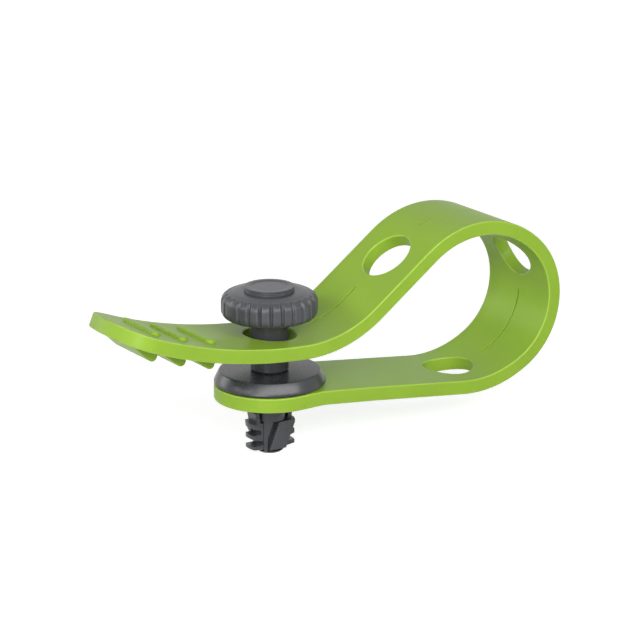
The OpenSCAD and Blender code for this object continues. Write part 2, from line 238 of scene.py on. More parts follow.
@dataclass(frozen=True)
class Finish:
    """A moulded or machined surface with fine grain, soft mottling and a painted highlight on its edges."""

    slot: Slot
    colour: Colour
    highlight_colour: Colour
    roughness: float
    metallic: float = 0.0
    specular: float = 0.5
    coat: float = 0.0
    coat_roughness: float = 0.22
    grain_scale: float = 2600.0
    grain_detail: float = 2.0
    grain_depth: float = 0.03
    grain_roughness: float = 0.06
    mottle_scale: float = 90.0
    mottle_detail: float = 4.0
    mottle: float = 0.06
    mottle_range: Point = (0.3, 0.7)
    mottle_roughness: float = 0.16
    highlight_weight: float = 0.35
    highlight_curve: Point = (0.515, 0.60)
    highlight_layer: str = ""
    brushed: bool = False
    brush_stretch: float = 14.0

    def material(self) -> bpy.types.Material:
        """Builds the node material.

        Returns:
            The finished material.
        """
        material = bpy.data.materials.new(self.slot.value)
        material.diffuse_color = (*self.colour, 1.0)
        tree = blank_tree(material)
        place = tree.add("ShaderNodeTexCoord").outputs["Object"]
        if self.brushed:
            stretch = {"Vector": place, "Scale": (1.0, 1.0, self.brush_stretch)}
            place = tree.add("ShaderNodeMapping", None, stretch).outputs["Vector"]
        mottling = self._noise(tree, place, self.mottle_scale, self.mottle_detail)
        grain = self._noise(tree, place, self.grain_scale, self.grain_detail)
        shade = tree.mapped(mottling, self.mottle_range, (1.0 - self.mottle, 1.0 + self.mottle))
        # Edges are mixed toward a lighter colour: a painted highlight, not wear
        colour = tree.add(
            "ShaderNodeMix", {"data_type": "RGBA"},
            {"Factor_Float": self._painted_highlight(tree), "A_Color": tree.vector("SCALE", self.colour, shade),
             "B_Color": (*self.highlight_colour, 1.0)},
        )
        rough = self.roughness + (mottling - 0.5) * self.mottle_roughness
        bump = tree.add(
            "ShaderNodeBump", None,
            {"Strength": 1.0, "Distance": self.grain_depth * MM, "Height": grain},
        )
        surface = tree.add(
            "ShaderNodeBsdfPrincipled", None,
            {
                "Base Color": colour.outputs[2],
                "Roughness": rough + (grain - 0.5) * self.grain_roughness,
                "Normal": bump.outputs["Normal"],
                "Metallic": self.metallic,
                "Specular IOR Level": self.specular,
                "Coat Weight": self.coat,
                "Coat Roughness": self.coat_roughness,
            },
        )
        tree.add("ShaderNodeOutputMaterial", None, {"Surface": surface.outputs["BSDF"]})
        return material

    def _painted_highlight(self, tree: Tree) -> Value:
        """Says how strongly the painted edge highlight lightens the surface: from the piece's own layer, or
        from how it is curved.

        Args:
            tree: The material's tree.

        Returns:
            The painted highlight's weight, from 0 to 1.
        """
        if self.highlight_layer:
            layer = tree.add("ShaderNodeAttribute", {"attribute_name": self.highlight_layer})
            return Value(tree, layer.outputs["Fac"]) * self.highlight_weight
        worn = tree.value("ShaderNodeNewGeometry", "Pointiness")
        return tree.mapped(worn, self.highlight_curve, (0.0, self.highlight_weight), "SMOOTHSTEP")

    @staticmethod
    def _noise(tree: Tree, place: bpy.types.NodeSocket, scale: float, detail: float) -> Value:
        """Adds a noise in the object's own space."""
        inputs = {"Vector": place, "Scale": scale, "Detail": detail, "Roughness": 0.55}
        return tree.value("ShaderNodeTexNoise", "Fac", None, inputs)


# Each finish's second colour is the lighter one of its painted edge highlight
FINISHES = {
    Slot.STRAP: Finish(
        Slot.STRAP, (0.252, 0.415, 0.033), (0.42, 0.63, 0.11), 0.42, grain_depth=0.012, mottle=0.045,
        coat=0.04, specular=0.20, highlight_weight=0.5, highlight_layer=EDGE_HIGHLIGHT_LAYER,
    ),
    Slot.BLACK: Finish(
        Slot.BLACK, (0.031, 0.032, 0.038), (0.075, 0.077, 0.085), 0.28, grain_depth=0.010, mottle=0.07,
        specular=0.46,
    ),
    Slot.KNOB: Finish(
        Slot.KNOB, (0.054, 0.056, 0.063), (0.12, 0.12, 0.13), 0.33, grain_depth=0.025, mottle=0.10,
        specular=0.36, highlight_weight=0.6, highlight_layer=EDGE_HIGHLIGHT_LAYER,
    ),
    Slot.STEEL: Finish(
        Slot.STEEL, (0.60, 0.60, 0.62), (0.75, 0.75, 0.77), 0.30, metallic=1.0, grain_depth=0.01,
        brushed=True,
    ),
    Slot.BRASS: Finish(
        Slot.BRASS, (0.72, 0.50, 0.20), (0.85, 0.66, 0.34), 0.32, metallic=1.0, grain_depth=0.01,
        brushed=True,
    ),
}


class Palette:
    """The materials, each made once."""

    def __init__(self) -> None:
        """Starts with nothing made."""
        self._made: dict[Slot, bpy.types.Material] = {}

    def __getitem__(self, slot: Slot) -> bpy.types.Material:
        """Gives a slot's material, which is made when it is first asked for.

        Args:
            slot: The material slot.

        Returns:
            The slot's material.
        """
        if slot not in self._made:
            self._made[slot] = FINISHES[slot].material()
        return self._made[slot]


# --- Meshes ---


def link_object(name: str, data: bpy.types.ID) -> bpy.types.Object:
    """Puts data into the scene as an object at the origin.

    Args:
        name: The object's name.
        data: Its mesh, curve, light or camera.

    Returns:
        The object.
    """
    made = bpy.data.objects.new(name, data)
    bpy.context.scene.collection.objects.link(made)
    return made


def mesh_object(name: str, bm: bmesh.types.BMesh) -> bpy.types.Object:
    """Makes an object at the origin from an edit mesh, which is then freed.

    Args:
        name: The object's name.
        bm: The edit mesh.

    Returns:
        The object.
    """
    data = bpy.data.meshes.new(name)
    bm.to_mesh(data)
    bm.free()
    return link_object(name, data)


def shade(piece: bpy.types.Object, sharp_angle: float) -> None:
    """Shades a piece smooth, apart from its sharp edges.

    Args:
        piece: The piece.
        sharp_angle: An edge that turns more than this many degrees is sharp.
    """
    for polygon in piece.data.polygons:
        polygon.use_smooth = True
    piece.data.set_sharp_from_angle(angle=math.radians(sharp_angle))


def bake_modifiers(piece: bpy.types.Object) -> None:
    """Replaces a piece's mesh with the result of its modifiers and removes them.

    Args:
        piece: The piece.
    """
    bpy.context.view_layer.update()
    graph = bpy.context.evaluated_depsgraph_get()
    made = bpy.data.meshes.new_from_object(
        piece.evaluated_get(graph), preserve_all_data_layers=True, depsgraph=graph
    )
    old = piece.data
    piece.modifiers.clear()
    piece.data = made
    made.name = piece.name
    bpy.data.meshes.remove(old)


def weigh_normals(piece: bpy.types.Object) -> None:
    """Adds a modifier that lets the broad faces set the shading at rounded edges.

    Args:
        piece: The piece.
    """
    weighting = piece.modifiers.new("weighted_normals", "WEIGHTED_NORMAL")
    weighting.keep_sharp = True
    weighting.weight = 80


def smooth_off(piece: bpy.types.Object, sharp_angle: float) -> None:
    """Shades a finished mesh smooth, with its normals weighed and kept.

    Args:
        piece: The piece.
        sharp_angle: An edge that turns more than this many degrees is sharp.
    """
    shade(piece, sharp_angle)
    weigh_normals(piece)
    bake_modifiers(piece)


def dress(piece: bpy.types.Object, material: bpy.types.Material) -> None:
    """Gives a piece one material."""
    piece.data.materials.clear()
    piece.data.materials.append(material)


def spread(start: float, end: float, count: int) -> list[float]:
    """Even steps from start, without the end."""
    return [start + (end - start) * k / count for k in range(count)]


def round_corner(x: float, z: float, radius: float, start: float, end: float, steps: int) -> list[Point]:
    """Points of an arc about (x, z), with angles in degrees."""
    angles = [math.radians(start + (end - start) * k / steps) for k in range(steps + 1)]
    return [(x + radius * math.cos(a), z + radius * math.sin(a)) for a in angles]


def soften(profile: Sequence[Point], radius: float, steps: int) -> list[Point]:
    """Rounds the sharp corners of a closed profile.

    Args:
        profile: Corner points in order.
        radius: How far from a corner the rounding starts, at most.
        steps: Segments of each rounded corner.

    Returns:
        The profile with its corners rounded.
    """
    nearly_straight, longest_share = 150, 0.4
    out: list[Point] = []
    for i, corner in enumerate(profile):
        here = Vector(corner)
        before = Vector(profile[i - 1]) - here
        after = Vector(profile[(i + 1) % len(profile)]) - here
        if math.degrees(before.angle(after, math.pi)) > nearly_straight:
            out.append(corner)
            continue
        cut = min(radius, longest_share * before.length, longest_share * after.length)
        start, end = here + before.normalized() * cut, here + after.normalized() * cut
        for k in range(steps + 1):
            t = k / steps
            point = start * (1 - t) ** 2 + here * 2 * t * (1 - t) + end * t * t
            out.append((point.x, point.y))
    return out


def band(bm: bmesh.types.BMesh, near: Verts, far: Verts) -> None:
    """Joins two closed loops, of as many points each, by faces."""
    for i in range(len(near)):
        j = (i + 1) % len(near)
        bm.faces.new((near[i], near[j], far[j], far[i]))


def prism(near: Iterable[Place], far: Iterable[Place]) -> bmesh.types.BMesh:
    """Closes two like outlines into a solid, with its faces outwards.

    Args:
        near: The points of one outline in order.
        far: The points of the other, which stand beside them.

    Returns:
        The solid's edit mesh.
    """
    bm = bmesh.new()
    loops = [[bm.verts.new(place) for place in outline] for outline in (near, far)]
    for loop in loops:
        bm.faces.new(loop)
    band(bm, *loops)
    bmesh.ops.recalc_face_normals(bm, faces=bm.faces)
    return bm


def round_edges(
    bm: bmesh.types.BMesh, edges: list[bmesh.types.BMEdge], width: float, segments: int
) -> None:
    """Rounds some edges, as far as their faces leave room."""
    bmesh.ops.bevel(
        bm, geom=edges, offset=width, offset_type="OFFSET", segments=segments, profile=0.5,
        affect="EDGES", clamp_overlap=True,
    )


def lathe(name: str, profile: Sequence[Point], segments: int, longest: float) -> bpy.types.Object:
    """Turns a closed profile about the stud's axis.

    Args:
        name: The piece's name.
        profile: Points (radius, height) of a closed outline that stays off the axis.
        segments: Steps round the axis.
        longest: The greatest length of a mesh edge along the profile.

    Returns:
        The turned piece, with its faces outwards.
    """
    points: list[Point] = []
    for i, (r, z) in enumerate(profile):
        r2, z2 = profile[(i + 1) % len(profile)]
        parts = max(1, math.ceil(math.hypot(r2 - r, z2 - z) / longest))
        points += [(r + (r2 - r) * k / parts, z + (z2 - z) * k / parts) for k in range(parts)]
    bm = bmesh.new()
    rings = []
    for k in range(segments):
        a = 2 * math.pi * k / segments
        rings.append([bm.verts.new((r * math.cos(a), r * math.sin(a), z)) for r, z in points])
    for k, ring in enumerate(rings):
        following = rings[(k + 1) % segments]
        for i in range(len(points)):
            j = (i + 1) % len(points)
            bm.faces.new((ring[i], following[i], following[j], ring[j]))
    bmesh.ops.recalc_face_normals(bm, faces=bm.faces)
    return mesh_object(name, bm)


# --- Geometry node trees ---


class Shaper:
    """A geometry tree with named inputs that is run once on a piece."""

    def __init__(self, name: str, asked: Sequence[tuple[str, str, object]]) -> None:
        """Makes the tree with its inputs and its output.

        Args:
            name: The tree's name.
            asked: Each input's name, its kind and the value that it takes. One is the Material.
        """
        self.group = bpy.data.node_groups.new(name, "GeometryNodeTree")
        face = self.group.interface
        face.new_socket("Geometry", in_out="INPUT", socket_type="NodeSocketGeometry")
        face.new_socket("Geometry", in_out="OUTPUT", socket_type="NodeSocketGeometry")
        self.values: dict[str, object] = {}
        for label, kind, value in asked:
            socket = face.new_socket(label, in_out="INPUT", socket_type=f"NodeSocket{kind}")
            self.values[socket.identifier] = value
        self.tree = Tree(self.group)
        outputs = self.tree.add("NodeGroupInput").outputs
        self.given = {s.name: Value(self.tree, s) for s in outputs if s.name}

    def close(self, geometry: bpy.types.NodeSocket) -> None:
        """Ends the tree in Realize Instances and Set Material.

        Args:
            geometry: The shaped geometry.
        """
        real = self.tree.add("GeometryNodeRealizeInstances", None, {0: geometry})
        painted = self.tree.add(
            "GeometryNodeSetMaterial", None,
            {"Geometry": real.outputs[0], "Material": self.given["Material"]},
        )
        self.tree.add("NodeGroupOutput", None, {0: painted.outputs[0]})

    def run(self, piece: bpy.types.Object) -> None:
        """Runs the tree on a piece and keeps the result as its mesh.

        Args:
            piece: The piece.
        """
        modifier = piece.modifiers.new(self.group.name, "NODES")
        modifier.node_group = self.group
        for identifier, value in self.values.items():
            modifier[identifier] = value
        bake_modifiers(piece)


# --- Strap ---


@dataclass
class StrapPath:
    """The strap's middle line, seen from the side, as runs and bends (radius, degrees)."""

    end_radius: float = 13.4 * MM
    thickness: float = STRAP_THICKNESS
    seat_run: float = 6 * MM
    dip: Point = (20 * MM, -6.7)
    lower_run: float = 40.4 * MM
    rise: Point = (29 * MM, 38.0)
    loop: Point = (18.1 * MM, 102.7)
    crown: Point = (24.2 * MM, 82.6)
    fall_run: float = 19.4 * MM
    saddle: Point = (32.3 * MM, -38.6)
    tail_radius: float = 126 * MM
    tail_run: float = 49.4 * MM
    line_step: float = 0.25 * MM

    def __post_init__(self) -> None:
        """Lists the stretches as (length, turn in radians)."""

        def bend(shape: Point) -> Point:
            """A bend's length and turn, from its radius and its angle in degrees."""
            return (shape[0] * abs(math.radians(shape[1])), math.radians(shape[1]))

        self.stretches = [
            (self.end_radius + self.seat_run, 0.0),
            bend(self.dip),
            (self.lower_run, 0.0),
            bend(self.rise),
            bend(self.loop),
            bend(self.crown),
            (self.fall_run, 0.0),
            bend(self.saddle),
            (self.tail_run, -self.tail_run / self.tail_radius),
        ]
        self.length = sum(length for length, _ in self.stretches)

    @staticmethod
    def _advance(at: Place, length: float, turn: float) -> Place:
        """Moves along an arc.

        Args:
            at: The start as (x, z, heading).
            length: The arc's length.
            turn: The arc's turn in radians.

        Returns:
            The end as (x, z, heading).
        """
        x, z, heading = at
        chord = length if abs(turn) < 1e-9 else length * math.sin(turn / 2) / (turn / 2)
        middle = heading + turn / 2
        return x + chord * math.cos(middle), z + chord * math.sin(middle), heading + turn

    def pose(self, s: float) -> Place:
        """Gives the middle line's place and heading.

        Args:
            s: The distance along it from the round end's rim.

        Returns:
            The line's (x, z, heading) there.
        """
        at = (-self.end_radius, self.thickness / 2, 0.0)
        for length, turn in self.stretches[:-1]:
            if s <= length:
                return self._advance(at, s, turn * s / length)
            at = self._advance(at, length, turn)
            s -= length
        length, turn = self.stretches[-1]
        return self._advance(at, s, turn * s / length)

    def over_stud(self) -> float:
        """Finds, by halving, where the upper run crosses the stud's axis.

        Returns:
            The distance from the round end's rim.
        """
        halvings = 40
        low = self.length - self.tail_run - self.stretches[-2][0]
        high = self.length
        for _ in range(halvings):
            middle = (low + high) / 2
            low, high = (middle, high) if self.pose(middle)[0] > 0 else (low, middle)
        return low

    def curve(self, name: str) -> bpy.types.Object:
        """Draws the middle line in the plane of the strap's side.

        Args:
            name: The curve's name.

        Returns:
            The line as a poly curve.
        """
        count = math.ceil(self.length / self.line_step)
        data = bpy.data.curves.new(name, "CURVE")
        data.dimensions = "3D"
        spline = data.splines.new("POLY")
        spline.points.add(count)
        for k, point in enumerate(spline.points):
            x, z, _ = self.pose(self.length * k / count)
            point.co = (x, 0.0, z, 1.0)
        return link_object(name, data)


@dataclass
class Strap:
    """The elastic strap: moulded flat, then bent round the loop."""

    path: StrapPath = field(default_factory=StrapPath)
    width: float = 25 * MM
    neck: float = 22 * MM
    end_reach: float = 9.6 * MM
    nose_radius: float = 7 * MM
    nose_front: float = 22 * MM
    nose_trim: float = 0.12 * MM
    nose_run: float = 4 * MM
    nose_heart: float = 1.0 * MM
    hub_hole: float = 5.3 * MM
    hole_radius: float = 6.5 * MM
    first_hole: float = 52.6 * MM
    hole_steps: tuple[float, float] = (43.5 * MM, 44.4 * MM)
    slit_width: float = 0.4 * MM
    slit_gap: float = 4.6 * MM
    edge_radius: float = 0.34 * MM
    slit_edge: float = 0.10 * MM
    # The share of each rounded edge's arc that gets the painted highlight
    highlight_part: Point = (0.05, 0.97)
    sharp_angle: float = 38.0
    block: float = 8.9 * MM
    row_step: float = 1.0 * MM
    columns: int = 9
    grip_count: int = 3
    grip_inset: float = 10.3 * MM
    grip_pitch: float = 7.8 * MM
    grip_root: float = 0.4 * MM
    grip_edge: float = 0.3 * MM
    ramp_width: float = 16 * MM
    ramp_height: float = 2.5 * MM
    bump_radius: float = 1.2 * MM
    bar_length: float = 15 * MM
    bar_width: float = 2.6 * MM
    bar_height: float = 0.8 * MM

    def build(self, palette: Palette) -> bpy.types.Object:
        """Builds, bends and dresses the strap.

        Args:
            palette: The materials.

        Returns:
            The strap, riding on its body in place of the CAD solid.
        """
        strap = self._flat()
        ramp, bar, line = self._ramp(), self._bar(), self.path.curve("strap_line")
        self._bender(palette[Slot.STRAP], ramp, bar, line).run(strap)
        smooth_off(strap, self.sharp_angle)
        for helper in (ramp, bar, line):
            bpy.data.objects.remove(helper)
        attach(strap, "strap")
        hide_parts("strap")
        return strap

    def _half_width(self, s: float) -> float:
        """Gives half of the strap's width, which changes evenly along the neck.

        Args:
            s: The distance from the round end's rim.

        Returns:
            Half of the width there.
        """
        radius, half = self.path.end_radius, self.width / 2
        if s < radius + self.neck:
            t = max(0.0, (s - radius) / self.neck)
            return radius + (half - radius) * t
        return half

    def _row(self, bm: bmesh.types.BMesh, s: float) -> Verts:
        """Makes the points across the strap, either side of the slit.

        Args:
            bm: The edit mesh.
            s: The row's distance from the round end's rim.

        Returns:
            The points in order.
        """
        slit, half = self.slit_width / 2, self._half_width(s)
        side = [slit + (half - slit) * k / self.columns for k in range(self.columns + 1)]
        return [bm.verts.new((s, y, 0.0)) for y in [-y for y in reversed(side)] + side]

    @staticmethod
    def _ring_faces(
        bm: bmesh.types.BMesh, rim: Verts, angles: Sequence[float], centre: float, radius: float,
        rings: int = 5,
    ) -> Verts:
        """Fills the band between a round hole and the block's edge.

        Args:
            bm: The edit mesh.
            rim: The block's edge points in order.
            angles: The angle at the hole of each of those points.
            centre: The hole's distance along the strap.
            radius: The hole's radius.
            rings: Bands of faces between hole and edge.

        Returns:
            The points round the hole.
        """
        outer = rim
        for k in range(rings - 1, -1, -1):
            inner = []
            for vert, angle in zip(rim, angles):
                near = Vector((centre + radius * math.cos(angle), radius * math.sin(angle), 0.0))
                inner.append(bm.verts.new(near.lerp(vert.co, k / rings)))
            band(bm, outer, inner)
            outer = inner
        return outer

    def _hole_block(self, bm: bmesh.types.BMesh, left: Verts, centre: float) -> Verts:
        """Adds the square of strap round one hole.

        Args:
            bm: The edit mesh.
            left: The row that it starts from.
            centre: The hole's distance along the strap.

        Returns:
            The square's far row.
        """
        right = self._row(bm, centre + self.block)
        steps, side, half = 16, len(right) - 1, self.width / 2
        xs = spread(centre + self.block, centre - self.block, steps)[1:]
        top = [bm.verts.new((x, half, 0.0)) for x in xs]
        bottom = [bm.verts.new((x, -half, 0.0)) for x in reversed(xs)]
        rim = right + top + left[::-1] + bottom
        corner = math.atan2(half, self.block)
        angles = spread(-corner, corner, side) + spread(corner, math.pi - corner, steps)
        angles += spread(math.pi - corner, math.pi + corner, side)
        angles += spread(math.pi + corner, 2 * math.pi - corner, steps)
        self._ring_faces(bm, rim, angles, centre, self.hole_radius)
        return right

    def _round_end(self, bm: bmesh.types.BMesh) -> Verts:
        """Adds the round end with its hub hole.

        Args:
            bm: The edit mesh.

        Returns:
            The end's far row.
        """
        radius, reach = self.path.end_radius, self.end_reach
        right = self._row(bm, radius + reach)
        steps, bends = 9, 40
        xs = spread(radius + reach, radius, steps)[1:]
        top = [bm.verts.new((x, self._half_width(x), 0.0)) for x in xs]
        turn = [math.pi / 2 + math.pi * k / bends for k in range(bends + 1)]
        arc = [bm.verts.new((radius + radius * math.cos(a), radius * math.sin(a), 0.0)) for a in turn]
        bottom = [bm.verts.new((x, -self._half_width(x), 0.0)) for x in reversed(xs)]
        rim = right + top + arc + bottom
        corner = math.atan2(self._half_width(radius + reach), reach)
        angles = spread(-corner, corner, len(right) - 1)
        angles += spread(corner, math.pi / 2, steps)
        angles += spread(math.pi / 2, 3 * math.pi / 2, bends)
        angles += spread(3 * math.pi / 2, 2 * math.pi - corner, steps)
        self._ring_faces(bm, rim, angles, radius, self.hub_hole)
        return right

    def _nose_reach(self) -> float:
        """How far the corners' centres stand ahead of the centre of the front's arc."""
        return math.sqrt((self.nose_front - self.nose_radius) ** 2 - (self.width / 2 - self.nose_radius) ** 2)

    def _nose(self, bm: bmesh.types.BMesh, left: Verts, nose: float) -> None:
        """Adds the crowned end with its round corners, filled in rings.

        Args:
            bm: The edit mesh.
            left: The row that it starts from.
            nose: The distance along the strap of the corners' centres.
        """
        front_steps, corner_steps, edge_steps, rings = 3, 9, 4, 7
        radius, half, aside = self.nose_radius, self.width / 2, self.width / 2 - self.nose_radius
        middle, meet = nose - self._nose_reach(), math.asin(aside / (self.nose_front - radius))
        front = [meet * t / front_steps for t in range(-front_steps, front_steps + 1)]
        tip = [(middle + self.nose_front * math.cos(a), self.nose_front * math.sin(a)) for a in front]
        turn = [(math.pi / 2 - meet) * k / corner_steps for k in range(corner_steps)]
        corner = [(nose + radius * math.sin(a), aside + radius * math.cos(a)) for a in turn]
        edge = [(nose - self.nose_run * k / edge_steps, half) for k in range(1, edge_steps)]
        upper = corner[::-1] + edge
        right = [bm.verts.new((x, y, 0.0)) for x, y in tip + upper]
        lower = [bm.verts.new((x, -y, 0.0)) for x, y in reversed(upper)]
        rim = right + left[::-1] + lower
        angles = [math.atan2(v.co.y, v.co.x - nose) for v in rim]
        bm.faces.new(self._ring_faces(bm, rim, angles, nose, self.nose_heart, rings))

    def _plain(
        self, bm: bmesh.types.BMesh, row: Verts, stations: Sequence[float],
        slit: Point | None,
    ) -> Verts:
        """Adds plain strap through some stations.

        Args:
            bm: The edit mesh.
            row: The row that it starts from.
            stations: Distances of the further rows.
            slit: Where the slit starts and ends, or nothing.

        Returns:
            The last row.
        """
        at = row[0].co.x
        for s in stations:
            following = self._row(bm, s)
            middle = (at + s) / 2
            for j in range(len(row) - 1):
                cut = slit is not None and j == self.columns and slit[0] < middle < slit[1]
                if not cut:
                    bm.faces.new((row[j], following[j], following[j + 1], row[j + 1]))
            row, at = following, s
        return row

    def _stations(self, start: float, end: float, marks: Iterable[float] = ()) -> list[float]:
        """Lists the distances of rows in even steps.

        Args:
            start: The row that stands already.
            end: The last row.
            marks: Distances between them that need a row of their own.

        Returns:
            The distances after start.
        """
        stops = [start, *marks, end]
        out: list[float] = []
        for a, b in zip(stops, stops[1:]):
            parts = max(1, math.ceil((b - a) / self.row_step))
            out += [a + (b - a) * (k + 1) / parts for k in range(parts)]
        return out

    def _flat(self) -> bpy.types.Object:
        """Builds the flat strap, with its thickness and its rounded edges.

        Returns:
            The strap, before it is bent.
        """
        bm = bmesh.new()
        row = self._round_end(bm)
        holes = [self.path.end_radius + self.first_hole]
        for step in self.hole_steps:
            holes.append(holes[-1] + step)
        holes.append(self.path.over_stud())
        margin = self.hole_radius + self.slit_gap
        slits = [(a + margin, b - margin) for a, b in zip(holes, holes[1:])]
        row = self._plain(bm, row, self._stations(row[0].co.x, holes[0] - self.block), None)
        for i, centre in enumerate(holes):
            row = self._hole_block(bm, row, centre)
            if i < len(slits):
                stops = self._stations(centre + self.block, holes[i + 1] - self.block, slits[i])
                row = self._plain(bm, row, stops, slits[i])
        nose = self.path.length - self.nose_trim - self.nose_front + self._nose_reach()
        row = self._plain(bm, row, self._stations(row[0].co.x, nose - self.nose_run), None)
        self._nose(bm, row, nose)
        bmesh.ops.recalc_face_normals(bm, faces=bm.faces)
        self._thicken(bm, slits)
        self._mark_painted_highlight(bm)
        return mesh_object("strap_loop", bm)

    def _mark_painted_highlight(self, bm: bmesh.types.BMesh) -> None:
        """Marks the middle of the rounded edges, away from the slits, for a painted highlight.

        Args:
            bm: The flat strap's edit mesh.
        """
        highlight_weight = bm.verts.layers.float.new(EDGE_HIGHLIGHT_LAYER)
        wall = self.path.thickness / 2 - self.edge_radius
        least, most = self.highlight_part
        for vert in bm.verts:
            t = (abs(vert.co.z) - wall) / self.edge_radius
            vert[highlight_weight] = 1.0 if least < t < most and abs(vert.co.y) > self.slit_width else 0.0

    def _thicken(self, bm: bmesh.types.BMesh, slits: Sequence[Point]) -> None:
        """Gives the flat sheet its thickness and rounds its long edges.

        Args:
            bm: The edit mesh.
            slits: Where each slit starts and ends.
        """
        half, slack, wall_turn = self.path.thickness / 2, 0.05 * MM, 1.2
        for vert in bm.verts:
            vert.co.z = -half
        grown = bmesh.ops.extrude_face_region(bm, geom=list(bm.faces))
        for item in grown["geom"]:
            if isinstance(item, bmesh.types.BMVert):
                item.co.z = half
        bmesh.ops.recalc_face_normals(bm, faces=bm.faces)

        def in_slit(edge: bmesh.types.BMEdge) -> bool:
            """Whether an edge bounds a slit."""
            return all(
                abs(v.co.y) < self.slit_width and any(a - slack < v.co.x < b + slack for a, b in slits)
                for v in edge.verts
            )

        def sharp(edge: bmesh.types.BMEdge) -> bool:
            """Whether an edge joins a broad face and a wall."""
            return len(edge.link_faces) == 2 and edge.calc_face_angle(0.0) > wall_turn

        level = [e for e in bm.edges if sharp(e) and abs(e.verts[0].co.z - e.verts[1].co.z) < slack]
        for width, segments, edges in (
            (self.edge_radius, 4, [e for e in level if not in_slit(e)]),
            (self.slit_edge, 1, [e for e in level if in_slit(e)]),
        ):
            round_edges(bm, [e for e in edges if e.is_valid], width, segments)

    def _ramp(self) -> bpy.types.Object:
        """Builds one wedge with its round bump, lying on the flat strap's underside.

        Returns:
            The wedge, which is repeated along the tail.
        """
        run = self.grip_pitch - self.bump_radius / 2
        root = self.path.thickness / 2 - self.grip_root
        bump = self.path.thickness / 2 + self.ramp_height - self.bump_radius
        slope = math.degrees(math.atan2(self.ramp_height, run))
        outline = [(-self.bump_radius, root), (run, root)]
        outline += round_corner(0.0, bump, self.bump_radius, 90 - slope, 180, 10)
        bm = prism(*([(x, y, z) for x, z in outline] for y in (-self.ramp_width / 2, self.ramp_width / 2)))
        corner_turn = 0.9
        edges = [e for e in bm.edges if e.calc_face_angle(0.0) > corner_turn]
        round_edges(bm, edges, self.grip_edge, 3)
        return mesh_object("strap_ramp", bm)

    def _bar(self) -> bpy.types.Object:
        """Builds one raised bar with round ends, standing on the flat strap's upper face.

        Returns:
            The bar, which is repeated along the tail.
        """
        half, radius = (self.bar_length - self.bar_width) / 2, self.bar_width / 2
        outline = [(radius * math.cos(a), half + radius * math.sin(a)) for a in spread(0.0, math.pi, 12)]
        outline.append((-radius, half))
        outline += [(-x, -y) for x, y in outline]
        face = self.path.thickness / 2
        root, top = self.grip_root - face, -face - self.bar_height
        bm = prism(*([(x, y, z) for x, y in outline] for z in (root, top)))
        rim = [e for e in bm.edges if all(abs(v.co.z - top) < 1e-6 for v in e.verts)]
        round_edges(bm, rim, self.grip_edge, 4)
        return mesh_object("strap_bar", bm)

    def _bender(
        self, material: bpy.types.Material, ramp: bpy.types.Object, bar: bpy.types.Object,
        line: bpy.types.Object,
    ) -> Shaper:
        """Makes the tree that repeats the grips and bends everything along the middle line.

        Args:
            material: The strap's material.
            ramp: The wedge that is repeated.
            bar: The raised bar that is repeated.
            line: The middle line.

        Returns:
            The tree, ready to run.
        """
        shaper = Shaper("bend_strap", (
            ("Middle Line", "Object", line),
            ("Ramp", "Object", ramp),
            ("Bar", "Object", bar),
            ("Grip Count", "Int", self.grip_count),
            ("First Grip", "Float", self.path.length - self.grip_inset),
            ("Grip Pitch", "Float", self.grip_pitch),
            ("Material", "Material", material),
        ))
        tree, given = shaper.tree, shaper.given
        step = tree.add("ShaderNodeCombineXYZ", None, {"X": given["Grip Pitch"] * -1.0})
        first = tree.add("ShaderNodeCombineXYZ", None, {"X": given["First Grip"]})
        marks = tree.add(
            "GeometryNodeMeshLine", {"mode": "OFFSET"},
            {"Count": given["Grip Count"], "Start Location": first.outputs[0], "Offset": step.outputs[0]},
        )
        shapes = {
            name: tree.value(
                "GeometryNodeObjectInfo", "Geometry", {"transform_space": "ORIGINAL"}, {"Object": given[name]}
            )
            for name in ("Ramp", "Bar", "Middle Line")
        }
        parts = tree.add("GeometryNodeJoinGeometry", None, {0: given["Geometry"]})
        for name in ("Ramp", "Bar"):
            row = tree.add(
                "GeometryNodeInstanceOnPoints", None,
                {"Points": marks.outputs["Mesh"], "Instance": shapes[name]},
            )
            real = tree.add("GeometryNodeRealizeInstances", None, {0: row.outputs[0]})
            tree.link(real.outputs[0], parts.inputs[0])
        flat = tree.add("ShaderNodeSeparateXYZ", None, {0: tree.add("GeometryNodeInputPosition").outputs[0]})
        sample = tree.add(
            "GeometryNodeSampleCurve", {"mode": "LENGTH", "use_all_curves": True},
            {"Curves": shapes["Middle Line"], "Length": flat.outputs["X"]},
        )
        inward = tree.vector("CROSS_PRODUCT", sample.outputs["Tangent"], (0.0, 1.0, 0.0))
        offset = tree.vector("SCALE", inward, flat.outputs["Z"])
        across = tree.add("ShaderNodeCombineXYZ", None, {"Y": flat.outputs["Y"]})
        lifted = tree.vector("ADD", sample.outputs["Position"], offset)
        bent = tree.add(
            "GeometryNodeSetPosition", None,
            {"Geometry": parts.outputs[0], "Position": tree.vector("ADD", lifted, across.outputs[0])},
        )
        shaper.close(bent.outputs[0])
        return shaper


# --- Stud ---


